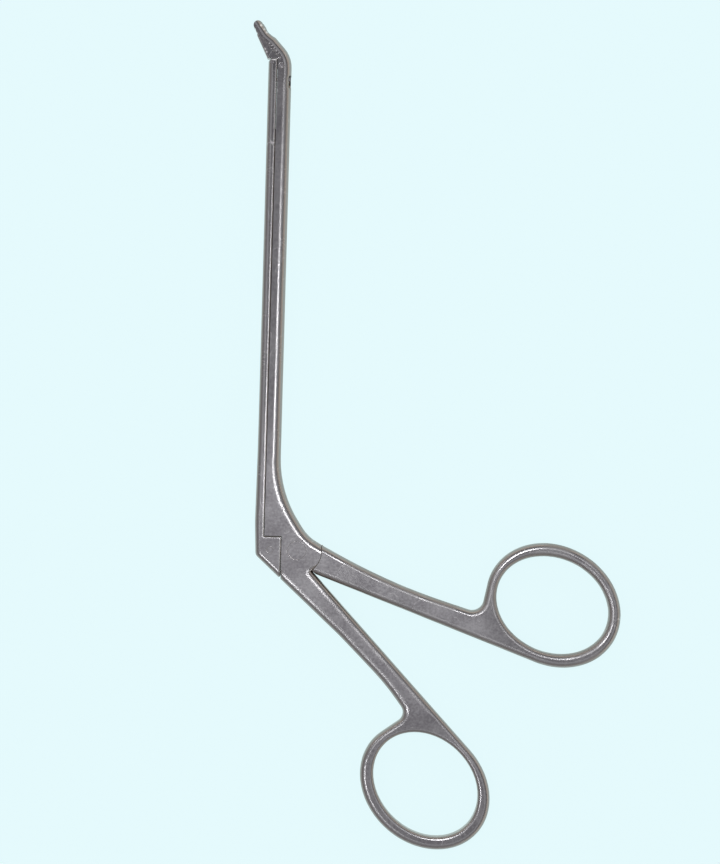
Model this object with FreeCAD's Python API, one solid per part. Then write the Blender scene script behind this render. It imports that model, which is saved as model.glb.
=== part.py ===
import FreeCAD, Part
import math
import os

# Punch forceps, lying flat. Millimetres.
# The origin is on the handle pivot's axis, at the face the instrument rests on.
# +X points to the handles' side, +Y along the shaft to the jaws, +Z up.

# Box joint and thicknesses
box_thickness = 6.0
handle_thickness = 5.0
ring_thickness = 4.6
shaft_end_thickness = 3.6
shaft_middle_thickness = 4.2
shaft_taper_start = 9.0
shaft_taper_middle = 40.0
shaft_taper_margin = 5.0
handle_taper = (12.0, 30.0, 48.0)
taper_blend_radius = 60.0
tongue_thickness = 2.0
tongue_side_gap = 0.05
cheek_radius = 5.85
shoulder_gap = 0.1
stop_gap = 0.12

# Shaft: the slide's back, the belly of the fixed bar and the seam between them
back_x = -9.95
shaft_height = 5.48
slide_height = 2.1
shaft_length = 115.0
sliding_gap = 0.1
step_y = 3.24
foot_length = 6.2
heel_bulge = 0.18
heel_bulge_y = 6.5
heel_bulge_radius = 40.0
heel_fade_y = 24.0
heel_fade_radius = 200.0
heel_corner_inset = 0.15
heel_corner_radius = 1.6
flare_top_y = 14.0
flare_top_radius = 27.0
flare_bottom = (2.42, 3.28)
flare_bottom_radius = 10.7
flare_angle = -30.0

# Rear edge of the foot, the box and the rear handle
heel_edge_angle = -42.4
heel_edge_offset = 7.59

# Rear handle and its ring
rear_edge_turn_1 = (10.7, -20.0)
rear_edge_turn_2 = (22.0, -31.3)
rear_edge_turn_radii = (90.0, 60.0)
rear_neck = (27.2, -38.4)
rear_neck_radius = 2.4
rear_inner_angle = -47.35
rear_inner_offset = 0.606
rear_ring_centre = (31.94, -55.24)
rear_ring_axes = (16.64, 13.62)
rear_ring_angle = -39.5
rear_hole_centre = (32.08, -54.75)
rear_hole_axes = (13.68, 11.02)
rear_hole_angle = -43.5

# Front handle and its ring
front_edge_turn = (22.1, -7.2)
front_edge_turn_radius = 150.0
front_neck = (44.1, -13.9)
front_neck_radius = 2.8
front_lower_start = (4.62, -5.52)
front_ring_centre = (61.32, -11.44)
front_ring_axes = (16.62, 14.04)
front_ring_angle = -30.0
front_hole_centre = (61.1, -11.41)
front_hole_axes = (13.83, 11.11)
front_hole_angle = -24.4

# Edge finishes
belly_round = 1.7
rear_edge_round = 1.2
front_edge_round = 1.3
rear_hole_round = 0.75
front_hole_round = 1.2
slide_edge_round = 1.15
seam_round = 0.3
jaw_edge_round = 0.35
rivet_chamfer = 0.03

# Handle pivot, tongue and the drive pin in the foot
pivot_radius = 2.2
pivot_clearance = 0.04
hub_radius = 3.6
tongue_arm_half_width = 1.65
drive_pin_radius = 0.8
drive_pin_distance = 6.4
pin_clearance = 0.05
slide_travel = 1.55
room = 0.15

# Jaw hinge and link
hinge_inset = 0.95
hinge_rivet_radius = 0.6
knuckle_radius = 1.8
knuckle_gap = 0.06
tail_thickness = 1.2
tail_hub_radius = 1.2
link_inset = 0.85
link_lead = 0.775
link_rivet_radius = 0.42
link_wall = 0.38
jaw_bend = 44.3
mating_offset = 1.11
mating_gap = 0.03
slide_end = 1.5
jaw_root_gap = 0.1
slide_relief = (0.6, 0.65)

# Jaws
elbow_radius = 7.0
elbow_lead = 2.25
jaw_shoulder = (5.84, 2.42)
jaw_neck = (7.74, 2.14)
jaw_crown = (10.24, 2.54)
tip_centre = (10.79, 1.41)
tip_radius = 1.12
mating_end = 10.1
moving_jaw_tip = (9.25, -0.42)
moving_jaw_lead = 1.06
moving_jaw_curve = 5.9
window_centre = 7.5
window_length = 3.4
window_width = 1.7
punch_depth = 0.9
punch_clearance = 0.12
tooth_pitch = 0.95
tooth_depth = 0.28
tooth_start = 2.5
tooth_count = 3

# Guide key, groove and guide rivet
key_width = 1.2
key_height = 0.7
key_start = 12.0
key_end = 100.0
key_gap = 0.06
guide_distance = 3.15
guide_head_length = 0.9
guide_head_width = 1.2
guide_head_height = 0.4
guide_stem_radius = 0.4
guide_stem_grip = 1.3
guide_recess_depth = 0.66
guide_window_top = 1.4

# Values worked out from the ones above
mid_z = box_thickness / 2
belly_x = back_x + shaft_height
seam_x = back_x + slide_height
foot_right_x = back_x + foot_length
half_gap = sliding_gap / 2
open_angle = math.degrees(math.atan(slide_travel / drive_pin_distance))
drive_pin_x = -drive_pin_distance
hinge = (seam_x + hinge_inset, shaft_length)
link = (back_x + link_inset, shaft_length + link_lead)
link_reach = hinge[0] - link[0]
link_angle = math.degrees(math.atan2(link_lead, link_reach))
slide_end_y = shaft_length + slide_end
tall = box_thickness + 4
far = 400.0


def polar(radius, angle, centre=(0.0, 0.0)):
    x = centre[0] + radius * math.cos(math.radians(angle))
    y = centre[1] + radius * math.sin(math.radians(angle))
    return (x, y)


def vector(point, z=0.0):
    return FreeCAD.Vector(point[0], point[1], z)


def along(start, angle, x):
    """The point at x on the line that leaves start at this angle."""
    return (x, start[1] + (x - start[0]) * math.tan(math.radians(angle)))


def line_meets_circle(start, angle, radius, centre=(0.0, 0.0)):
    step = polar(1.0, angle)
    dx = start[0] - centre[0]
    dy = start[1] - centre[1]
    half_b = dx * step[0] + dy * step[1]
    root = math.sqrt(half_b ** 2 - (dx * dx + dy * dy - radius ** 2))
    reach = root - half_b
    return (start[0] + reach * step[0], start[1] + reach * step[1])


def tangent_point(start, centre, half_axes, angle, side):
    """Where a line from start touches an ellipse; side is 1 or -1."""
    dx = start[0] - centre[0]
    dy = start[1] - centre[1]
    cos_a = math.cos(math.radians(angle))
    sin_a = math.sin(math.radians(angle))
    u = (dx * cos_a + dy * sin_a) / half_axes[0]
    v = (dy * cos_a - dx * sin_a) / half_axes[1]
    turn = math.atan2(v, u) + side * math.acos(1 / math.hypot(u, v))
    u = half_axes[0] * math.cos(turn)
    v = half_axes[1] * math.sin(turn)
    return (centre[0] + u * cos_a - v * sin_a, centre[1] + u * sin_a + v * cos_a)


def jaw_point(distance, height):
    """A place on the jaws: distance along the mating line, height off it to the outer side."""
    foot = polar(mating_offset + height, jaw_bend, hinge)
    return polar(distance, jaw_bend + 90, foot)


def outline(corners):
    """A closed wire. A corner is x, y, radius, and a point that the edge after it bends through."""
    entries = []
    exits = []
    arcs = []
    count = len(corners)
    for i, corner in enumerate(corners):
        here = vector(corner)
        to_last = (vector(corners[i - 1]) - here).normalize()
        to_next = (vector(corners[(i + 1) % count]) - here).normalize()
        radius = corner[2]
        if radius == 0:
            entries.append(here)
            exits.append(here)
            arcs.append(None)
            continue
        half = to_last.getAngle(to_next) / 2
        reach = radius / math.tan(half)
        inward = (to_last + to_next).normalize()
        entries.append(here + to_last * reach)
        exits.append(here + to_next * reach)
        arcs.append(here + inward * (radius / math.sin(half) - radius))
    edges = []
    for i, corner in enumerate(corners):
        if arcs[i] is not None:
            edges.append(Part.Arc(entries[i], arcs[i], exits[i]).toShape())
        after = entries[(i + 1) % count]
        if len(corner) > 3:
            edges.append(Part.Arc(exits[i], vector(corner[3]), after).toShape())
        elif exits[i].distanceToPoint(after) > 1e-6:
            edges.append(Part.LineSegment(exits[i], after).toShape())
    return Part.Wire(edges)


def slab(corners, thickness=tall):
    """A plate with this outline, centred on the middle plane."""
    plate = Part.Face(outline(corners)).extrude(FreeCAD.Vector(0, 0, thickness))
    return plate.translated(FreeCAD.Vector(0, 0, mid_z - thickness / 2))


def block(x0, x1, y0, y1, thickness=tall):
    corner = FreeCAD.Vector(x0, y0, mid_z - thickness / 2)
    return Part.makeBox(x1 - x0, y1 - y0, thickness, corner)


def disc(radius, centre=(0.0, 0.0), thickness=tall):
    return Part.makeCylinder(radius, thickness, vector(centre, mid_z - thickness / 2))


def wedge(radius, angle_from, angle_to, thickness, centre=(0.0, 0.0)):
    """A pie slice about centre."""
    middle = (angle_from + angle_to) / 2
    first = polar(radius, angle_from, centre)
    last = polar(radius, angle_to, centre)
    return slab([(centre[0], centre[1], 0),
                 (first[0], first[1], 0, polar(radius, middle, centre)),
                 (last[0], last[1], 0)], thickness)


def ellipse_plate(centre, half_axes, angle):
    major = polar(half_axes[0], angle, centre)
    minor = polar(half_axes[1], angle + 90, centre)
    curve = Part.Ellipse(vector(major), vector(minor), vector(centre))
    plate = Part.Face(Part.Wire([curve.toShape()])).extrude(FreeCAD.Vector(0, 0, tall))
    return plate.translated(FreeCAD.Vector(0, 0, mid_z - tall / 2))


def envelope(angle, stations):
    """A long plate along one direction whose thickness follows the stations, each distance, thickness."""
    top = [(s, t / 2, taper_blend_radius) for s, t in stations]
    bottom = [(s, -t / 2, taper_blend_radius) for s, t in reversed(stations)]
    corners = [(-far, stations[0][1] / 2, 0)] + top + [(far, stations[-1][1] / 2, 0)]
    corners += [(far, -stations[-1][1] / 2, 0)] + bottom + [(-far, -stations[0][1] / 2, 0)]
    face = Part.Face(outline(corners))
    face.rotate(FreeCAD.Vector(0, 0, 0), FreeCAD.Vector(1, 0, 0), 90)
    plate = face.extrude(FreeCAD.Vector(0, 2 * far, 0))
    plate.translate(FreeCAD.Vector(0, -far, mid_z))
    plate.rotate(FreeCAD.Vector(0, 0, 0), FreeCAD.Vector(0, 0, 1), angle)
    return plate


def normal_z(face, point):
    u, v = face.Surface.parameter(point)
    return abs(face.normalAt(u, v).z)


def rim_edges(shape, wanted):
    """Edges between a top or bottom face and a wall, where the middle of the edge is wanted."""
    found = []
    for edge in shape.Edges:
        middle = edge.valueAt((edge.FirstParameter + edge.LastParameter) / 2)
        faces = shape.ancestorsOfType(edge, Part.Face)
        if len(faces) != 2:
            continue
        tilts = sorted(normal_z(face, middle) for face in faces)
        if tilts[0] < 0.2 and tilts[1] > 0.9 and wanted(middle.x, middle.y):
            found.append(edge)
    return found


def shaft_envelope():
    return envelope(90, [(shaft_taper_start, box_thickness),
                         (shaft_taper_middle, shaft_middle_thickness),
                         (shaft_length - shaft_taper_margin, shaft_end_thickness)])


def handle_envelope(angle):
    return envelope(angle, [(handle_taper[0], box_thickness),
                            (handle_taper[1], handle_thickness),
                            (handle_taper[2], ring_thickness)])


# Lines that several pieces share
heel_foot = polar(heel_edge_offset, heel_edge_angle - 90)
heel_corner = along(heel_foot, heel_edge_angle, back_x + heel_corner_inset)
inner_start = polar(rear_inner_offset, rear_inner_angle - 90)
notch = line_meets_circle(inner_start, rear_inner_angle, cheek_radius)
cheek_top = line_meets_circle(flare_bottom, flare_angle, cheek_radius)
mating_reach = math.sqrt(knuckle_radius ** 2 - mating_offset ** 2)



def fixed_bar_plate():
    """The fixed bar with the fixed jaw, down to the middle of the box."""
    left = seam_x + half_gap
    knuckle_mating = jaw_point(mating_reach, 0)
    knuckle_left = (left, hinge[1] + math.sqrt(knuckle_radius ** 2 - (left - hinge[0]) ** 2))
    knuckle_middle = polar(knuckle_radius, jaw_bend + 62, hinge)
    tip_low = jaw_point(mating_end, 0)
    return slab([
        (left, step_y - 5, 0),
        (knuckle_left[0], knuckle_left[1], 0, knuckle_middle),
        (knuckle_mating[0], knuckle_mating[1], 0),
        (tip_low[0], tip_low[1], 0.3),
        jaw_point(tip_centre[0] + 0.2, tip_centre[1] - tip_radius * 0.6) + (0,),
        jaw_point(*tip_centre) + (0,),
        jaw_point(*jaw_crown) + (0,),
        jaw_point(*jaw_neck) + (2.5,),
        jaw_point(*jaw_shoulder) + (4.0,),
        (belly_x, shaft_length + elbow_lead, elbow_radius),
        (belly_x, flare_top_y, flare_top_radius),
        flare_bottom + (flare_bottom_radius,),
        (cheek_top[0], cheek_top[1], 0),
        (0, 0, 0)])


def jaw_placed(shape):
    """Carries a shape built with X off the mating face and Y along it onto the jaws."""
    shape = shape.copy()
    shape.rotate(FreeCAD.Vector(0, 0, 0), FreeCAD.Vector(0, 0, 1), jaw_bend)
    shape.translate(vector(jaw_point(0, 0), mid_z))
    return shape


def window_prism(length, width, low, high):
    """An oval bar square to the mating face, round at both ends."""
    straight = length - width
    bar = Part.makeBox(high - low, straight, width, FreeCAD.Vector(low, -straight / 2, -width / 2))
    out = FreeCAD.Vector(1, 0, 0)
    ends = []
    for y in (-straight / 2, straight / 2):
        ends.append(Part.makeCylinder(width / 2, high - low, FreeCAD.Vector(low, y, 0), out))
    bar = bar.fuse(ends).removeSplitter()
    bar.translate(FreeCAD.Vector(0, window_centre, 0))
    return jaw_placed(bar)


def teeth(lift, grow):
    """Saw teeth of the fixed jaw, standing off the mating line towards the moving jaw."""
    bars = []
    for i in range(tooth_count):
        start = tooth_start + i * tooth_pitch
        root_low = jaw_point(start - grow, lift)
        crest = jaw_point(start + tooth_pitch * 0.3, -tooth_depth - grow)
        root_high = jaw_point(start + tooth_pitch + grow, lift)
        bars.append(slab([root_low + (0,), crest + (0,), root_high + (0,)], shaft_end_thickness + 1))
    return bars[0].fuse(bars[1:])


def tongue_room():
    """The slot through the box that the tongue swings in."""
    width = tongue_thickness + 2 * tongue_side_gap
    low = math.degrees(math.atan2(notch[1], notch[0])) - 2
    high = math.degrees(math.atan2(cheek_top[1], cheek_top[0])) + open_angle + 2
    edge = -foot_right_x
    drop = edge * math.tan(math.radians(open_angle))
    arm = tongue_arm_half_width / math.cos(math.radians(open_angle))
    hub = disc(hub_radius + room, thickness=width)
    sweep = wedge(cheek_radius + 4, low, high, width)
    mouth = block(-edge - 2, 0, -drop - arm - room, tongue_arm_half_width + room, width)
    return hub.fuse([sweep, mouth])


def tail_room():
    """The slot in the fixed bar that the moving jaw's tail turns in."""
    width = tail_thickness + 2 * tongue_side_gap
    low = hinge[1] - tail_hub_radius - sliding_gap
    high = hinge[1] + knuckle_radius + sliding_gap
    hub = disc(tail_hub_radius + sliding_gap, hinge, width)
    return hub.fuse(block(seam_x - 1, hinge[0], low, high, width))


def guide_place():
    return (seam_x, shaft_length - guide_distance)


def guide_room():
    """Slot for the guide rivet's stem through the fixed bar, and the recess for its head."""
    y = guide_place()[1]
    stem = guide_stem_radius + key_gap
    reach = guide_head_length / 2 + sliding_gap
    slot = block(seam_x - 1, belly_x, y - slide_travel - stem, y + stem, 2 * stem)
    floor = belly_x - guide_recess_depth
    half_width = guide_head_width / 2 + sliding_gap
    recess = block(floor, belly_x + 1, y - slide_travel - reach, y + reach,
                   half_width + guide_window_top)
    recess.translate(FreeCAD.Vector(0, 0, (guide_window_top - half_width) / 2))
    return slot.fuse(recess)


def fixed_frame():
    """Box, fixed bar and jaw, rear handle and ring: one forging."""
    left = foot_right_x + half_gap
    touch = tangent_point(notch, rear_ring_centre, rear_ring_axes, rear_ring_angle, -1)
    shoulder = tangent_point(rear_neck, rear_ring_centre, rear_ring_axes, rear_ring_angle, 1)
    cheek_middle = polar(cheek_radius, -20)
    body = slab([
        (left, step_y + half_gap, 0),
        along(heel_foot, heel_edge_angle, left) + (0,),
        rear_edge_turn_1 + (rear_edge_turn_radii[0],),
        rear_edge_turn_2 + (rear_edge_turn_radii[1],),
        rear_neck + (rear_neck_radius,),
        (shoulder[0], shoulder[1], 0),
        (touch[0], touch[1], 0),
        (notch[0], notch[1], 0, cheek_middle),
        (cheek_top[0], cheek_top[1], 0),
        (flare_bottom[0] - 2, flare_bottom[1] - 0.3, 0)])
    bar = fixed_bar_plate().cut(block(-far, left, -far, step_y + half_gap))
    tip = disc(tip_radius, jaw_point(*tip_centre))
    ring = ellipse_plate(rear_ring_centre, rear_ring_axes, rear_ring_angle)
    frame = body.fuse([bar, tip, ring]).removeSplitter()
    frame = frame.cut(ellipse_plate(rear_hole_centre, rear_hole_axes, rear_hole_angle))
    frame = frame.common(shaft_envelope())
    frame = frame.common(handle_envelope(-45))

    def on_belly(x, y):
        at_step = x < foot_right_x and y < step_y + 1
        return x > seam_x + 1 and cheek_top[1] < y < shaft_length and not at_step

    def in_hole(x, y):
        reach = math.hypot(x - rear_hole_centre[0], y - rear_hole_centre[1])
        return reach < rear_hole_axes[0] + 0.01

    def on_handle(x, y):
        on_cheek = math.hypot(x, y) < cheek_radius + 0.05
        on_foot = x < foot_right_x + 0.3
        return y < 0 and not (on_cheek or on_foot or in_hole(x, y))

    frame = frame.makeFillet(belly_round, rim_edges(frame, on_belly))
    frame = frame.makeFillet(rear_edge_round, rim_edges(frame, on_handle))
    frame = frame.makeFillet(rear_hole_round, rim_edges(frame, in_hole))
    frame = frame.fuse(teeth(0.2, 0).common(shaft_envelope())).removeSplitter()
    groove = block(seam_x, seam_x - half_gap + key_height + key_gap,
                   key_start - slide_travel - room, key_end + room, key_width + 2 * key_gap)
    cuts = [tongue_room(), tail_room(), guide_room(), groove,
            disc(pivot_radius), disc(hinge_rivet_radius, hinge),
            window_prism(window_length, window_width, -1, 4)]
    for cut in cuts:
        frame = frame.cut(cut)
    return frame


def front_handle():
    """The moving handle with its ring, shoulder and tongue."""
    shoulder = cheek_radius + shoulder_gap
    inner = polar(rear_inner_offset - stop_gap, rear_inner_angle - 90)
    stop = line_meets_circle(inner, rear_inner_angle, shoulder)
    top = line_meets_circle(flare_bottom, flare_angle, shoulder)
    touch = tangent_point(front_lower_start, front_ring_centre, front_ring_axes,
                          front_ring_angle, 1)
    above = tangent_point(front_neck, front_ring_centre, front_ring_axes, front_ring_angle, -1)
    body = slab([
        (top[0], top[1], 0),
        front_edge_turn + (front_edge_turn_radius,),
        front_neck + (front_neck_radius,),
        (above[0], above[1], 0),
        (touch[0], touch[1], 0),
        front_lower_start + (0,),
        (stop[0], stop[1], 0, polar(shoulder, -20))])
    ring = ellipse_plate(front_ring_centre, front_ring_axes, front_ring_angle)
    handle = body.fuse(ring).removeSplitter()
    handle = handle.cut(ellipse_plate(front_hole_centre, front_hole_axes, front_hole_angle))
    handle = handle.common(handle_envelope(-19))

    def in_hole(x, y):
        reach = math.hypot(x - front_hole_centre[0], y - front_hole_centre[1])
        return reach < front_hole_axes[0] + 0.01

    def on_handle(x, y):
        return math.hypot(x, y) > math.hypot(*front_lower_start) + 0.1 and not in_hole(x, y)

    handle = handle.makeFillet(front_edge_round, rim_edges(handle, on_handle))
    handle = handle.makeFillet(front_hole_round, rim_edges(handle, in_hole))
    low = math.degrees(math.atan2(stop[1], stop[0]))
    high = math.degrees(math.atan2(top[1], top[0]))
    arm_end = (-(drive_pin_distance + 0.1), 0)
    tongue = disc(hub_radius, thickness=tongue_thickness).fuse([
        wedge(shoulder + 0.3, low, high, tongue_thickness),
        block(arm_end[0], 0, -tongue_arm_half_width, tongue_arm_half_width, tongue_thickness),
        disc(tongue_arm_half_width, arm_end, tongue_thickness)])
    handle = handle.fuse(tongue).removeSplitter()
    slot_half = drive_pin_radius + pin_clearance
    slot_near = drive_pin_distance - pin_clearance
    slot_far = math.hypot(drive_pin_distance, slide_travel) + pin_clearance
    cuts = [disc(pivot_radius + pivot_clearance),
            block(-slot_far, -slot_near, -slot_half, slot_half),
            disc(slot_half, (-slot_near, 0)), disc(slot_half, (-slot_far, 0))]
    for cut in cuts:
        handle = handle.cut(cut)
    return handle


def foot_room():
    """The slot in the foot for the tongue's arm."""
    width = tongue_thickness + 2 * tongue_side_gap
    pin = (drive_pin_x, 0)
    spread = tongue_arm_half_width + room
    right = foot_right_x + 1
    rise = (right - drive_pin_x) * math.tan(math.radians(open_angle))
    mouth = slab([(pin[0], -spread, 0), (right, -spread, 0),
                  (right, spread + rise, 0), (pin[0], spread, 0)], width)
    return disc(spread + 0.05, pin, width).fuse(mouth)


def slide_bar():
    """The slide on the back of the shaft, with its foot beside the box and its fork at the tip."""
    right = seam_x - half_gap
    foot_right = foot_right_x - half_gap
    foot_top = step_y - half_gap
    slide = slab([
        (right, slide_end_y, 0),
        (right, foot_top, 0),
        (foot_right, foot_top, 0),
        along(heel_foot, heel_edge_angle, foot_right) + (0,),
        heel_corner + (heel_corner_radius,),
        (back_x - heel_bulge, heel_bulge_y, heel_bulge_radius),
        (back_x, heel_fade_y, heel_fade_radius),
        (back_x, slide_end_y - slide_relief[1], 0),
        (back_x + slide_relief[0], slide_end_y, 0)])
    slide = slide.common(shaft_envelope())

    def outer(x, y):
        on_back = x < back_x + 0.3 and y < slide_end_y - slide_relief[1]
        on_heel = y < step_y - 2 and x < foot_right - 0.1
        return on_back or on_heel

    def seam(x, y):
        return not outer(x, y) and y < slide_end_y - 0.05

    slide = slide.makeFillet(slide_edge_round, rim_edges(slide, outer))
    slide = slide.makeFillet(seam_round, rim_edges(slide, seam))
    slide = slide.fuse(block(right - 0.5, right + key_height, key_start, key_end, key_width))
    slide = slide.removeSplitter()
    fork_low = hinge[1] - math.sqrt(tail_hub_radius ** 2 - (hinge[0] - right) ** 2) - room
    fork = block(back_x - 1, right + 1, fork_low, slide_end_y + 1,
                 tail_thickness + 2 * tongue_side_gap)
    guide_y = guide_place()[1]
    stem = Part.makeCylinder(guide_stem_radius, guide_stem_grip + 1,
                             FreeCAD.Vector(right - guide_stem_grip, guide_y, mid_z),
                             FreeCAD.Vector(1, 0, 0))
    for cut in (foot_room(), fork, stem, disc(drive_pin_radius, (drive_pin_x, 0)),
                disc(link_rivet_radius, link)):
        slide = slide.cut(cut)
    return slide


def punch_jaw():
    """The moving jaw: a wedge with a punch, and a thin tail on the hinge and the link."""
    knuckle = knuckle_radius + knuckle_gap
    root_y = slide_end_y + jaw_root_gap
    rise = mating_offset - mating_gap
    top = jaw_point(math.sqrt(knuckle ** 2 - rise ** 2), -mating_gap)
    root_right = (hinge[0] - math.sqrt(knuckle ** 2 - (root_y - hinge[1]) ** 2), root_y)
    jaw = slab([
        (root_right[0], root_right[1], 0, polar(knuckle, 109, hinge)),
        (top[0], top[1], 0),
        jaw_point(moving_jaw_tip[0] + 0.25, -mating_gap) + (0,),
        jaw_point(*moving_jaw_tip) + (0,),
        (back_x, shaft_length + moving_jaw_lead, moving_jaw_curve),
        (back_x, shaft_length - 2, 0),
        (root_right[0], shaft_length - 2, 0)])
    jaw = jaw.cut(block(-far, far, -far, root_y))
    jaw = jaw.common(shaft_envelope())

    def on_back(x, y):
        return x < jaw_point(4, -1.5)[0] + 0.9 and (x - back_x) * 2.1 + (y - root_y) < 0.9

    jaw = jaw.makeFillet(jaw_edge_round, rim_edges(jaw, on_back))
    jaw = jaw.cut(teeth(0.2, mating_gap + 0.02))
    punch = window_prism(window_length - 2 * punch_clearance, window_width - 2 * punch_clearance,
                         -0.5, punch_depth)
    wall = math.hypot(window_centre + window_length / 2, mating_offset)
    punch = punch.common(disc(wall - punch_clearance / 2, hinge))
    tail_angle = 180 - link_angle
    half_width = link_rivet_radius + pin_clearance + link_wall
    link_far = math.hypot(link_reach, slide_travel / 2)
    end = polar(link_far - 0.05, tail_angle, hinge)
    side = polar(half_width, tail_angle + 90)
    arm = slab([(hinge[0] + side[0], hinge[1] + side[1], 0),
                (end[0] + side[0], end[1] + side[1], 0),
                (end[0] - side[0], end[1] - side[1], 0),
                (hinge[0] - side[0], hinge[1] - side[1], 0)], tail_thickness)
    high = math.degrees(math.atan2(top[1] - hinge[1], top[0] - hinge[0]))
    tail = disc(tail_hub_radius, hinge, tail_thickness).fuse([
        arm, disc(half_width, end, tail_thickness),
        wedge(knuckle + knuckle_gap, high + 5, tail_angle, tail_thickness, hinge)])
    jaw = jaw.fuse([punch, tail]).removeSplitter()
    slot = link_rivet_radius + pin_clearance
    near = polar(link_reach - 0.02, tail_angle, hinge)
    last = polar(link_far + 0.02, tail_angle, hinge)
    for cut in (disc(hinge_rivet_radius + pivot_clearance, hinge), disc(slot, near), disc(slot, last)):
        jaw = jaw.cut(cut)
    return jaw


def rivet(radius, centre, thickness):
    pin = disc(radius, centre, thickness)
    rims = [edge for edge in pin.Edges if edge.BoundBox.ZLength < 1e-6]
    return pin.makeChamfer(rivet_chamfer, rims)


def slide_guide_rivet():
    """T-headed rivet, fixed in the slide, whose head runs in the recess of the fixed bar."""
    y = guide_place()[1]
    start = seam_x - half_gap - guide_stem_grip
    floor = belly_x - guide_recess_depth + key_gap
    stem = Part.makeCylinder(guide_stem_radius, floor + 0.1 - start,
                             FreeCAD.Vector(start, y, mid_z), FreeCAD.Vector(1, 0, 0))
    half = guide_head_length / 2
    head = block(floor, floor + guide_head_height, y - half, y + half, guide_head_width)
    return head.fuse(stem).removeSplitter()


def main():
    os.makedirs("parts", exist_ok=True)
    pieces = {
        "fixed_frame": fixed_frame(),
        "front_handle": front_handle(),
        "slide_bar": slide_bar(),
        "punch_jaw": punch_jaw(),
        "handle_pivot_rivet": rivet(pivot_radius, (0.0, 0.0), box_thickness),
        "slide_drive_pin": rivet(drive_pin_radius, (drive_pin_x, 0.0), box_thickness),
        "jaw_hinge_rivet": rivet(hinge_rivet_radius, hinge, shaft_end_thickness),
        "jaw_link_rivet": rivet(link_rivet_radius, link, shaft_end_thickness),
        "slide_guide_rivet": slide_guide_rivet(),
    }
    for name, shape in pieces.items():
        print(name, shape.isValid(), len(shape.Solids), round(shape.Volume, 2))
        shape.exportStep("parts/" + name + ".step")


main()
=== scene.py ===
import bpy
import math
from mathutils import Matrix, Vector


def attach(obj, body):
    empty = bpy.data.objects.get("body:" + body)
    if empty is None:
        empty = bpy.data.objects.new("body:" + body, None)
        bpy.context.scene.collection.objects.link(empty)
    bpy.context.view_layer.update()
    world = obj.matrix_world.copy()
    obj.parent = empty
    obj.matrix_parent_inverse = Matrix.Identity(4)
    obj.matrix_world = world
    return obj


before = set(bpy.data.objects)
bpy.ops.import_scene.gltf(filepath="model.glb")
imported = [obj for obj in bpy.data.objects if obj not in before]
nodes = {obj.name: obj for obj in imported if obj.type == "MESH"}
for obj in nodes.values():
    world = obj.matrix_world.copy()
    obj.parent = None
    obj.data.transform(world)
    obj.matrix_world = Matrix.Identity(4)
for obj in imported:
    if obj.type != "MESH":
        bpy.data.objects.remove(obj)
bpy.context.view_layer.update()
millimetre = 0.001
perMetre = 1 / millimetre
print("frame loaded,", len(nodes), "pieces")


def srgb(hexText):  # a colour as it looks on screen, turned to the linear values that nodes want
    parts = [int(hexText[i:i + 2], 16) / 255 for i in (1, 3, 5)]
    return [p / 12.92 if p <= 0.04045 else ((p + 0.055) / 1.055) ** 2.4 for p in parts] + [1.0]


# sockets: name or number -> a value, or an output to link
def addNode(tree, kind, sockets=None, **settings):
    node = tree.nodes.new(kind)
    for name, value in settings.items():
        setattr(node, name, value)
    for name, value in (sockets or {}).items():
        if isinstance(value, bpy.types.NodeSocket):
            tree.links.new(value, node.inputs[name])
        else:
            node.inputs[name].default_value = value
    return node


# camera straight down, rolled a little, from far enough for the photo's flat perspective
photoView = {
    "centre": (14.2, 28.5, 3.0),  # mm, what the middle of the picture looks at
    "up": (-0.0279, 0.9996, 0.0),
    "fieldHeight": 205.6,  # mm from the top of the picture to its bottom
    "lens": 150.0,
    "sensor": 36.0,
    "clip": (0.01, 30),  # m
}


def makeCamera(v):
    data = bpy.data.cameras.new("photoCamera")
    data.lens = v["lens"]
    data.sensor_width = v["sensor"]
    data.clip_start, data.clip_end = v["clip"]
    camera = bpy.data.objects.new("photoCamera", data)
    bpy.context.scene.collection.objects.link(camera)
    distance = v["fieldHeight"] * v["lens"] / v["sensor"]
    up, back = Vector(v["up"]).normalized(), Vector((0, 0, 1))
    turn = Matrix((up.cross(back), up, back)).transposed().to_4x4()
    place = (Vector(v["centre"]) + back * distance) * millimetre
    camera.matrix_world = Matrix.Translation(place) @ turn
    bpy.context.scene.camera = camera


makeCamera(photoView)
print("camera set")


# pale paper under the tool, and the room that the steel reflects
studio = {
    "paper": "#e6fcff",
    "paperUnderLight": "#ffffff",
    "paperKeepsShadow": 0.06,  # share of the paper's look that real light and shadow give
    "paperHalf": 8.0,  # m, from the middle of the paper to its edge
    "roomDarkSide": "#a5a3a6",
    "roomWarmSide": "#f0ebe4",
    "warmSideTowards": (0.76, 0.65, 0.0),
    "warmSideFrom": (-0.75, 0.35),  # how far that way the dark side turns into the warm one
    "bandDarkSide": "#a9a7a8",  # the darker strip above the lit walls
    "bandWarmSide": "#7b7977",  # its warm side draws the line beside a bright rim
    "bandFrom": (0.48, 0.6),  # height, as a share of straight up, where walls turn into strip
    "roomAbove": "#c2c1c4",
    "aboveFrom": (0.74, 0.86),  # the same where the strip turns into the ceiling
}

# place and what it points at in mm, size in mm, glow is the brightness of its face
middle = (14, 28, 0)
lamps = {
    "lampBesideCamera": {"place": (30, 54, 470), "at": middle, "size": (60, 96), "glow": 17.0},
    "lampLeftOfCamera": {"place": (-112, -108, 470), "at": middle, "size": (44, 44), "glow": 14.0},
    "boxUpperLeft": {"place": (-620, 520, 900), "at": middle, "size": (260, 90), "glow": 4.0},
    "boxLowerLeft": {"place": (-330, -380, 1100), "at": middle, "size": (420, 50), "glow": 4.0},
}


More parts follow.
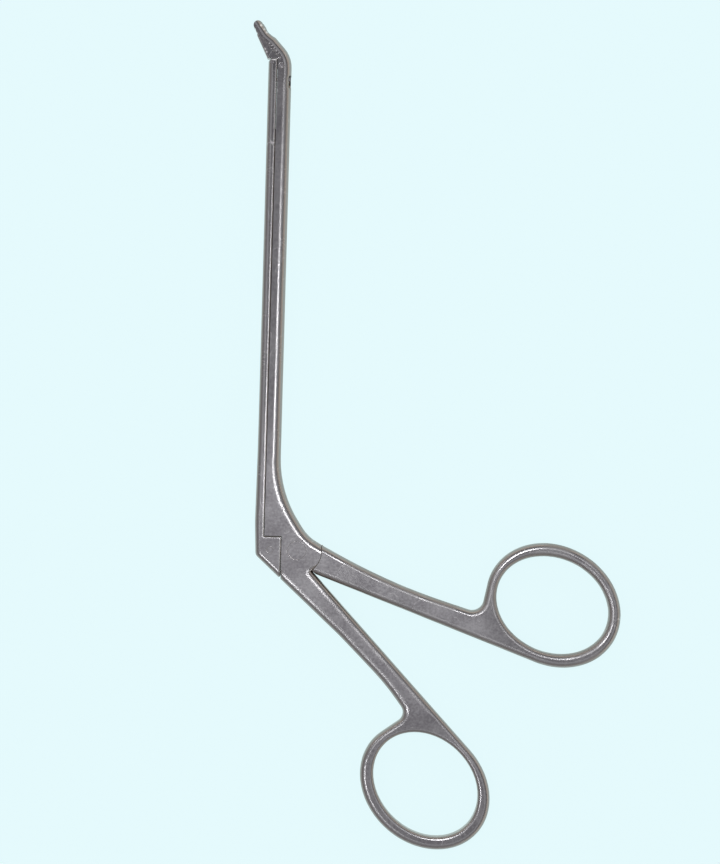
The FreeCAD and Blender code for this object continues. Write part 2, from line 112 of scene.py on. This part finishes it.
def makeFloor(v):
    half = v["paperHalf"]
    mesh = bpy.data.meshes.new("paperFloor")
    corners = [(-half, -half, 0), (half, -half, 0), (half, half, 0), (-half, half, 0)]
    mesh.from_pydata(corners, [], [(0, 1, 2, 3)])
    floor = bpy.data.objects.new("paperFloor", mesh)
    bpy.context.scene.collection.objects.link(floor)
    material = bpy.data.materials.new("paleSeamlessPaper")  # uncoated paper: flat, matt, no gloss
    material.use_nodes = True
    tree = material.node_tree
    tree.nodes.clear()
    rays = addNode(tree, "ShaderNodeLightPath").outputs
    seen = rays["Is Camera Ray"]
    for ray in ("Is Glossy Ray", "Is Transmission Ray"):
        seen = addNode(
            tree, "ShaderNodeMath", {0: seen, 1: rays[ray]}, operation="MAXIMUM").outputs[0]
    share = addNode(
        tree, "ShaderNodeMath", {0: seen, 1: 1 - v["paperKeepsShadow"]}, operation="MULTIPLY")
    matt = addNode(tree, "ShaderNodeBsdfDiffuse", {"Color": srgb(v["paperUnderLight"])})
    plain = addNode(tree, "ShaderNodeEmission", {"Color": srgb(v["paper"]), "Strength": 1.0})
    paper = addNode(tree, "ShaderNodeMixShader", {
        0: share.outputs[0], 1: matt.outputs[0], 2: plain.outputs[0]})
    addNode(tree, "ShaderNodeOutputMaterial", {"Surface": paper.outputs[0]})
    mesh.materials.append(material)


def makeRoom(v):
    world = bpy.data.worlds.new("studioRoom")
    bpy.context.scene.world = world
    world.use_nodes = True
    tree = world.node_tree
    tree.nodes.clear()
    way = addNode(tree, "ShaderNodeTexCoord").outputs["Generated"]
    height = addNode(tree, "ShaderNodeSeparateXYZ", {0: way}).outputs["Z"]
    side = addNode(
        tree, "ShaderNodeVectorMath", {0: way, 1: v["warmSideTowards"]}, operation="DOT_PRODUCT")
    warm, band, above = [
        addNode(tree, "ShaderNodeMapRange", {0: amount, 1: v[limits][0], 2: v[limits][1]},
                interpolation_type="SMOOTHSTEP").outputs[0]
        for amount, limits in (
            (side.outputs["Value"], "warmSideFrom"), (height, "bandFrom"), (height, "aboveFrom"))]
    walls, strip = [
        addNode(tree, "ShaderNodeMix", {0: warm, 6: srgb(v[darkSide]), 7: srgb(v[warmSide])},
                data_type="RGBA").outputs[2]
        for darkSide, warmSide in (
            ("roomDarkSide", "roomWarmSide"), ("bandDarkSide", "bandWarmSide"))]
    room = walls
    for share, higher in ((band, strip), (above, srgb(v["roomAbove"]))):
        room = addNode(
            tree, "ShaderNodeMix", {0: share, 6: room, 7: higher}, data_type="RGBA").outputs[2]
    light = addNode(tree, "ShaderNodeBackground", {"Color": room, "Strength": 1.0})
    addNode(tree, "ShaderNodeOutputWorld", {"Surface": light.outputs[0]})


def makeLamp(name, v):
    data = bpy.data.lights.new(name, "AREA")
    data.shape = "RECTANGLE"
    width, height = [side * millimetre for side in v["size"]]
    data.size, data.size_y = width, height
    data.energy = v["glow"] * math.pi * width * height
    lamp = bpy.data.objects.new(name, data)
    bpy.context.scene.collection.objects.link(lamp)
    back = (Vector(v["place"]) - Vector(v["at"])).normalized()
    along = Vector((-back.y, back.x, 0)).normalized()
    turn = Matrix((along, back.cross(along), back)).transposed().to_4x4()
    lamp.matrix_world = Matrix.Translation(Vector(v["place"]) * millimetre) @ turn


makeFloor(studio)
makeRoom(studio)
for lampName, lampValues in lamps.items():
    makeLamp(lampName, lampValues)
print("studio lit")


# hardened stainless steel, belt ground and satin brushed: grey, soft sheen, polished rims
satinSteel = {
    "dark": "#6f6d71",
    "light": "#8c8b8e",
    "rim": "#a3a2a4",
    "side": "#a49d99",  # the sides, where the paper mirrors, a little warmer and plainer
    # pale colour of the scratches and of the painted highlights
    "scratchesAndHighlights": "#f2f1f2",
    "sideEdgeTint": (0.85, 0.82, 0.78, 1.0),  # tint of the steel where it is seen almost edge on
    "faceRoughness": 0.46,
    "rimRoughness": 0.2,
    "streaks": 0.06,  # how much the polish of the rims comes and goes
    "polishClouds": (0.42, 0.58),  # the part of the clouds' range that it comes and goes with

    "brushAngle": 90,  # degrees, the way the brush ran
    "brushWidth": 0.16,  # mm between brush lines
    "brushLength": 6.0,  # mm, how far one line runs
    "brushRoughness": 0.1,  # how much the lines change the roughness
    "grainSize": 0.6,  # mm; real grit marks are 0.02 mm, drawn coarse so that the picture shows them
    "grainDepth": 0.24,  # how far the grain and the clouds change the grey, as a share of its range
    "cloudSize": 7.0,  # mm, uneven hand polishing
    "bumpHeight": 0.005,  # mm

    "scratchSize": 5.0,  # mm between hairline scratches
    "scratchWidth": 0.006,  # of the noise's range
    "scratchStrength": 0.4,
    "scratchPatch": 3.1,  # mm, the size of the places that have them
    "scratchWhere": (0.56, 0.64),  # the part of that noise's range where they fade in
    "scratchedSpots": [],  # x, y and two radii in mm: thicker scratches fade out between the radii
    "spotScratchSize": 1.1,  # mm between them
    "spotScratchWidth": 0.02,  # of the noise's range

    "softEdge": 1.5,  # mm, how far in from a rim hand polishing has crowned the face
    "sharpEdge": 0.12,  # mm, the same beside a seam or a rivet, which stays crisp
    "softFrom": None,  # mm in x, where the edges turn from sharp to soft
    "sharpSpots": [],  # x, y, two radii in mm and the share of softness left inside the first
    "crownSamples": 12,  # rays that feel for the edges; fewer make the rims grainy
    "rimUpright": (0.80, 0.95),  # how upright the crowned surface is where side turns into rim
    "faceUpright": (0.9962, 0.9993),  # the same where rim turns into face
    "flatUpright": (0.9996, 0.99995),  # the same where the fine relief starts

    "paintedShades": [],  # x, y, two radii in mm and a share: painted shade, that much darker inside the first radius
    "shaftShade": 1.0,  # the same share of painted shade, along the shaft
    "shaftShadeFrom": (12, 45),  # mm up the shaft, where it comes in
    "paintedEdgeHighlights": [],  # painted highlight along an edge: x from and to, y from and to in mm, strength near the box and up the shaft
    "edgeHighlightFadeFrom": (20, 45),  # mm up the shaft, where the first strength turns into the second
    "edgeHighlightUpright": (0.5, 0.9),  # how upright the surface is where the painted highlight comes in
    "paintedHighlightSpots": [],  # x, y, two radii in mm and a strength: small painted highlights
    "paintedRecessShade": [],  # x, y, two radii in mm and a share: painted shade, dark inside
}

# places in mm: x, y and the two radii between which they fade out
boxCorner = (-6.2, -0.5, 4.6, 5.6)
handlePivot = (0, 0, 2.5, 3.7)
cheekSeam = (5.4, -1.0, 2.0, 3.4)
drivePin = (-6.4, 0, 1.1, 1.8)
jawHinge = (-6.9, 115, 2.2, 3.2)
jawLink = (-9.0, 115.5, 1.0, 1.6)
tip = (-11, 122, 7, 12)
rearRing = (31.9, -55.2, 15.5, 18.5)
frontRing = (61.3, -11.4, 15.5, 18.5)

frameSteel = dict(
    satinSteel,
    softFrom=(-7.7, -5.8),
    sharpSpots=[
        rearRing + (0.3,), boxCorner + (0.0,), handlePivot + (0.0,), cheekSeam + (0.0,),
        jawHinge + (0.0,)],
    paintedShades=[rearRing + (0.94,), tip + (0.82,)],
    shaftShade=0.82,
    scratchedSpots=[(3.6, 3.4, 1.0, 4.5)],
    paintedHighlightSpots=[
        (-12.0, 124.4, 0.15, 0.4, 0.9), (-11.2, 123.5, 0.1, 0.4, 0.5),
        (-10.6, 122.8, 0.1, 0.4, 0.6)],
    paintedRecessShade=[(-4.65, y, 0.3, 0.5, 0.1) for y in (110.8, 111.5, 112.3)])

# the moving handle, brushed along its length and more evenly
handleSteel = dict(
    satinSteel,
    brushAngle=-20,
    softEdge=0.6,
    sharpEdge=0.22,
    softFrom=(40, 52),
    sharpSpots=[frontRing + (0.9,), cheekSeam + (0.0,)],
    paintedShades=[frontRing + (0.9,)],
    streaks=0.25,
    grainDepth=0.2)

# the slide, with painted highlights along its seam, beside the box and at its end
slideSteel = dict(
    satinSteel,
    softEdge=0.5,
    sharpSpots=[drivePin + (0.0,), jawLink + (0.0,)],
    shaftShade=0.76,
    paintedEdgeHighlights=[
        (-8.3, -8.1, 3.2, 3.4, 1.0, 0.3), (-4.2, -4.0, -6.0, 1.0, 0.9, 0.9),
        (-12, -11, 116.1, 116.3, 0.8, 0.8)])

# the jaw, harder, with crisp cutting edges, and painted shade towards the tip
jawSteel = dict(
    satinSteel,
    softEdge=0.15,
    paintedShades=[tip + (0.84,)],
    paintedHighlightSpots=[(-10.9, 118.8, 0.1, 0.4, 0.5), (-10.5, 118.1, 0.1, 0.35, 0.5)])

# rivets filed flush and polished, and ridges painted pale as a highlight
rivetSteel = dict(satinSteel, softEdge=0.04, sharpEdge=0.02, grainDepth=0.2)
ridgeHighlightSteel = dict(rivetSteel, dark="#a9a8aa", light="#c4c3c5", side="#b5b1af")
screenPower = 2.2  # turns a share as the eye sees it into a share of light


def makeSteel(name, v):
    material = bpy.data.materials.new(name)
    material.use_nodes = True
    tree = material.node_tree
    tree.nodes.clear()
    place = addNode(tree, "ShaderNodeTexCoord").outputs["Object"]
    across = addNode(tree, "ShaderNodeSeparateXYZ", {0: place}).outputs
    level = addNode(
        tree, "ShaderNodeVectorMath", {0: place, 1: (perMetre, perMetre, 0)}, operation="MULTIPLY")

    def fromSpot(x, y, near, far, low, high):  # low inside the near radius, high outside the far one
        away = addNode(
            tree, "ShaderNodeVectorMath", {0: level.outputs[0], 1: (x, y, 0)}, operation="DISTANCE")
        return addNode(
            tree, "ShaderNodeMapRange",
            {0: away.outputs["Value"], 1: near, 2: far, 3: low, 4: high},
            interpolation_type="SMOOTHSTEP").outputs[0]

    def alongAxis(axis, start, end, low, high):
        return addNode(
            tree, "ShaderNodeMapRange",
            {0: across[axis], 1: start * millimetre, 2: end * millimetre, 3: low, 4: high},
            interpolation_type="SMOOTHSTEP").outputs[0]

    # crowned edges: soft along the outer rims, crisp beside seams and rivets
    crown = 1.0
    if v["softFrom"]:
        crown = alongAxis("X", *v["softFrom"], 0.0, crown)
    for spot in v["sharpSpots"]:
        crown = fromSpot(*spot, crown)
    reach = addNode(tree, "ShaderNodeMapRange", {
        0: crown, 3: v["sharpEdge"] * millimetre, 4: v["softEdge"] * millimetre})
    crowned = addNode(
        tree, "ShaderNodeBevel", {"Radius": reach.outputs[0]},
        samples=v["crownSamples"]).outputs["Normal"]
    upright = addNode(tree, "ShaderNodeSeparateXYZ", {0: crowned}).outputs["Z"]
    upright = addNode(tree, "ShaderNodeMath", {0: upright}, operation="ABSOLUTE").outputs[0]
    face, rim, flat = [
        addNode(tree, "ShaderNodeMapRange", {0: upright, 1: v[limits][0], 2: v[limits][1]},
                interpolation_type="SMOOTHSTEP").outputs[0]
        for limits in ("faceUpright", "rimUpright", "flatUpright")]

    # grain, clouds of polish and brush lines
    grain = addNode(tree, "ShaderNodeTexNoise", {
        "Vector": place, "Scale": perMetre / v["grainSize"],
        "Detail": 3.0, "Roughness": 0.6}).outputs["Fac"]
    cloud = addNode(tree, "ShaderNodeTexNoise", {
        "Vector": place, "Scale": perMetre / v["cloudSize"], "Detail": 3.0}).outputs["Fac"]
    fineness = perMetre / v["brushWidth"]
    turned = addNode(tree, "ShaderNodeMapping", {
        "Vector": place, "Rotation": (0, 0, -math.radians(v["brushAngle"])),
        "Scale": (perMetre / v["brushLength"], fineness, fineness)})
    brush = addNode(tree, "ShaderNodeTexNoise", {
        "Vector": turned.outputs[0], "Scale": 1.0, "Detail": 2.0}).outputs["Fac"]

    # hairline scratches: thin level lines of a noise, kept only in places
    def hairlines(size, width, strength):
        lines = addNode(tree, "ShaderNodeTexNoise", {
            "Vector": place, "Scale": perMetre / size, "Detail": 1.0, "Distortion": 0.4})
        off = addNode(
            tree, "ShaderNodeMath", {0: lines.outputs["Fac"], 1: 0.5}, operation="SUBTRACT")
        off = addNode(tree, "ShaderNodeMath", {0: off.outputs[0]}, operation="ABSOLUTE")
        return addNode(tree, "ShaderNodeMapRange", {
            0: off.outputs[0], 1: 0.0, 2: width, 3: strength, 4: 0.0}).outputs[0]

    patches = addNode(tree, "ShaderNodeTexNoise", {
        "Vector": place, "Scale": perMetre / v["scratchPatch"], "Detail": 1.0})
    strength = addNode(tree, "ShaderNodeMapRange", {
        0: patches.outputs["Fac"], 1: v["scratchWhere"][0], 2: v["scratchWhere"][1],
        3: 0.0, 4: v["scratchStrength"]}).outputs[0]
    bright = hairlines(v["scratchSize"], v["scratchWidth"], strength)

    # scratched spots, painted highlights along edges and painted highlight spots: the brightest one
    # counts
    marks = []
    for spot in v["scratchedSpots"]:
        strength = fromSpot(*spot, v["scratchStrength"], 0.0)
        marks.append(hairlines(v["spotScratchSize"], v["spotScratchWidth"], strength))
    for xFrom, xTo, yFrom, yTo, nearBox, upShaft in v["paintedEdgeHighlights"]:
        strength = alongAxis("Y", *v["edgeHighlightFadeFrom"], nearBox, upShaft)
        edge = alongAxis("X", xFrom, xTo, 0.0, alongAxis("Y", yFrom, yTo, 0.0, strength))
        marks.append(addNode(tree, "ShaderNodeMapRange", {
            0: upright, 1: v["edgeHighlightUpright"][0], 2: v["edgeHighlightUpright"][1],
            3: 0.0, 4: edge}).outputs[0])
    for spot in v["paintedHighlightSpots"]:
        marks.append(fromSpot(*spot, 0.0))
    for mark in marks:
        bright = addNode(tree, "ShaderNodeMath", {0: bright, 1: mark}, operation="MAXIMUM").outputs[0]

    # colours
    tone = addNode(tree, "ShaderNodeMath", {0: cloud, 1: grain}, operation="ADD")
    tone = addNode(tree, "ShaderNodeMapRange", {
        0: tone.outputs[0], 1: 1 - v["grainDepth"], 2: 1 + v["grainDepth"]})
    faceColour = addNode(
        tree, "ShaderNodeMix", {0: tone.outputs[0], 6: srgb(v["dark"]), 7: srgb(v["light"])},
        data_type="RGBA")
    # painted shade: darker up the shaft and inside the listed spots
    shade = alongAxis("Y", *v["shaftShadeFrom"], 1.0, v["shaftShade"])
    for spot in v["paintedShades"]:
        shade = fromSpot(*spot, shade)
    shade = addNode(tree, "ShaderNodeMath", {0: shade, 1: screenPower}, operation="POWER")
    faceColour = addNode(
        tree, "ShaderNodeVectorMath", {0: faceColour.outputs[2], "Scale": shade.outputs[0]},
        operation="SCALE")
    sideColour = addNode(
        tree, "ShaderNodeMix", {0: rim, 6: srgb(v["side"]), 7: srgb(v["rim"])}, data_type="RGBA")
    colour = addNode(
        tree, "ShaderNodeMix", {0: face, 6: sideColour.outputs[2], 7: faceColour.outputs[0]},
        data_type="RGBA")
    colour = addNode(
        tree, "ShaderNodeMix", {0: bright, 6: colour.outputs[2], 7: srgb(v["scratchesAndHighlights"])},
        data_type="RGBA").outputs[2]
    # painted shade in the recesses
    for spot in v["paintedRecessShade"]:
        colour = addNode(
            tree, "ShaderNodeVectorMath", {0: colour, "Scale": fromSpot(*spot, 1.0)},
            operation="SCALE").outputs[0]

    # polish and relief
    polish = addNode(tree, "ShaderNodeMapRange", {
        0: cloud, 1: v["polishClouds"][0], 2: v["polishClouds"][1],
        3: v["rimRoughness"], 4: v["rimRoughness"] + v["streaks"]})
    rough = addNode(tree, "ShaderNodeMix", {0: face, 2: polish.outputs[0], 3: v["faceRoughness"]})
    rough = addNode(
        tree, "ShaderNodeMath", {0: brush, 1: v["brushRoughness"], 2: rough.outputs[0]},
        operation="MULTIPLY_ADD")
    rough = addNode(
        tree, "ShaderNodeMath", {0: rough.outputs[0], 1: v["brushRoughness"] / 2},
        operation="SUBTRACT")
    relief = addNode(tree, "ShaderNodeMath", {0: brush, 1: grain}, operation="ADD")
    relief = addNode(tree, "ShaderNodeMath", {0: relief.outputs[0], 1: 1.0}, operation="SUBTRACT")
    bump = addNode(tree, "ShaderNodeBump", {
        "Height": relief.outputs[0], "Distance": v["bumpHeight"] * millimetre,
        "Strength": flat, "Normal": crowned})
    steel = addNode(tree, "ShaderNodeBsdfPrincipled", {
        "Base Color": colour, "Metallic": 1.0, "Specular Tint": v["sideEdgeTint"],
        "Roughness": rough.outputs[0], "Normal": bump.outputs[0]})
    addNode(tree, "ShaderNodeOutputMaterial", {"Surface": steel.outputs[0]})
    return material


def dress(nodeName, material):
    for slot in nodes[nodeName].material_slots:
        slot.material = material


dress("fixed_frame", makeSteel("satinBrushedStainlessSteel", frameSteel))
dress("front_handle", makeSteel("satinBrushedHandleSteel", handleSteel))
dress("slide_bar", makeSteel("satinBrushedSlideSteel", slideSteel))
dress("punch_jaw", makeSteel("hardenedJawSteel", jawSteel))
rivetMetal = makeSteel("polishedRivetSteel", rivetSteel)
for nodeName in nodes:
    if "rivet" in nodeName or "pin" in nodeName:
        dress(nodeName, rivetMetal)
print("steel on every piece")


# the low ridges where the jaws meet, which catch the light as small pale ticks
jawTeeth = {
    "ridges": 5,
    "start": (-7.62, 117.92, 4.76),  # mm, the ridge nearest the hinge, a little sunk in the fixed jaw
    "step": (-0.56, 0.57, 0.0),  # mm from one ridge to the next, along the line where the jaws meet
    "size": (0.55, 0.36, 0.12),  # mm across the line, along it, and high
    "topShare": 0.5,  # how much of its foot the top of a ridge keeps
    "turn": 44.3,  # degrees
}


def makeJawTeeth(v, metal):
    tree = bpy.data.node_groups.new("jawRidges", "GeometryNodeTree")
    wanted = [("ridges", "NodeSocketInt", v["ridges"]),
              ("start", "NodeSocketVector", [p * millimetre for p in v["start"]]),
              ("step", "NodeSocketVector", [p * millimetre for p in v["step"]]),
              ("size", "NodeSocketVector", [p * millimetre for p in v["size"]]),
              ("topShare", "NodeSocketFloat", v["topShare"]),
              ("turn", "NodeSocketVector", (0, 0, math.radians(v["turn"])))]
    sockets = {
        name: tree.interface.new_socket(name, in_out="INPUT", socket_type=kind)
        for name, kind, _ in wanted}
    tree.interface.new_socket("geometry", in_out="OUTPUT", socket_type="NodeSocketGeometry")
    given = addNode(tree, "NodeGroupInput").outputs
    line = addNode(tree, "GeometryNodeMeshLine", {
        "Count": given["ridges"], "Start Location": given["start"], "Offset": given["step"]},
        mode="OFFSET")
    ridge = addNode(tree, "GeometryNodeMeshCone", {  # four sides, with a foot one unit square
        "Vertices": 4, "Radius Bottom": math.sqrt(0.5), "Radius Top": given["topShare"],
        "Depth": 1.0})
    square = addNode(tree, "GeometryNodeTransform", {
        "Geometry": ridge.outputs["Mesh"], "Rotation": (0, 0, math.radians(45))})
    placed = addNode(tree, "GeometryNodeInstanceOnPoints", {
        "Points": line.outputs["Mesh"], "Instance": square.outputs["Geometry"],
        "Rotation": given["turn"], "Scale": given["size"]})
    real = addNode(
        tree, "GeometryNodeRealizeInstances", {"Geometry": placed.outputs["Instances"]})
    dressed = addNode(tree, "GeometryNodeSetMaterial", {
        "Geometry": real.outputs["Geometry"], "Material": metal})
    addNode(tree, "NodeGroupOutput", {"geometry": dressed.outputs["Geometry"]})

    carrier = bpy.data.objects.new("jawRidgeCarrier", bpy.data.meshes.new("jawRidgeCarrier"))
    bpy.context.scene.collection.objects.link(carrier)
    modifier = carrier.modifiers.new("jawRidges", "NODES")
    modifier.node_group = tree
    for name, _, value in wanted:
        modifier[sockets[name].identifier] = value
    grown = carrier.evaluated_get(bpy.context.evaluated_depsgraph_get())
    mesh = bpy.data.meshes.new_from_object(grown)
    bpy.data.objects.remove(carrier)
    teeth = bpy.data.objects.new("jaw_tooth_ridges", mesh)
    bpy.context.scene.collection.objects.link(teeth)
    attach(teeth, "frame")
    return teeth


makeJawTeeth(jawTeeth, makeSteel("paintedHighlightRidgeSteel", ridgeHighlightSteel))
print("jaw ridges made")


bpy.context.scene.view_settings.view_transform = "Standard"
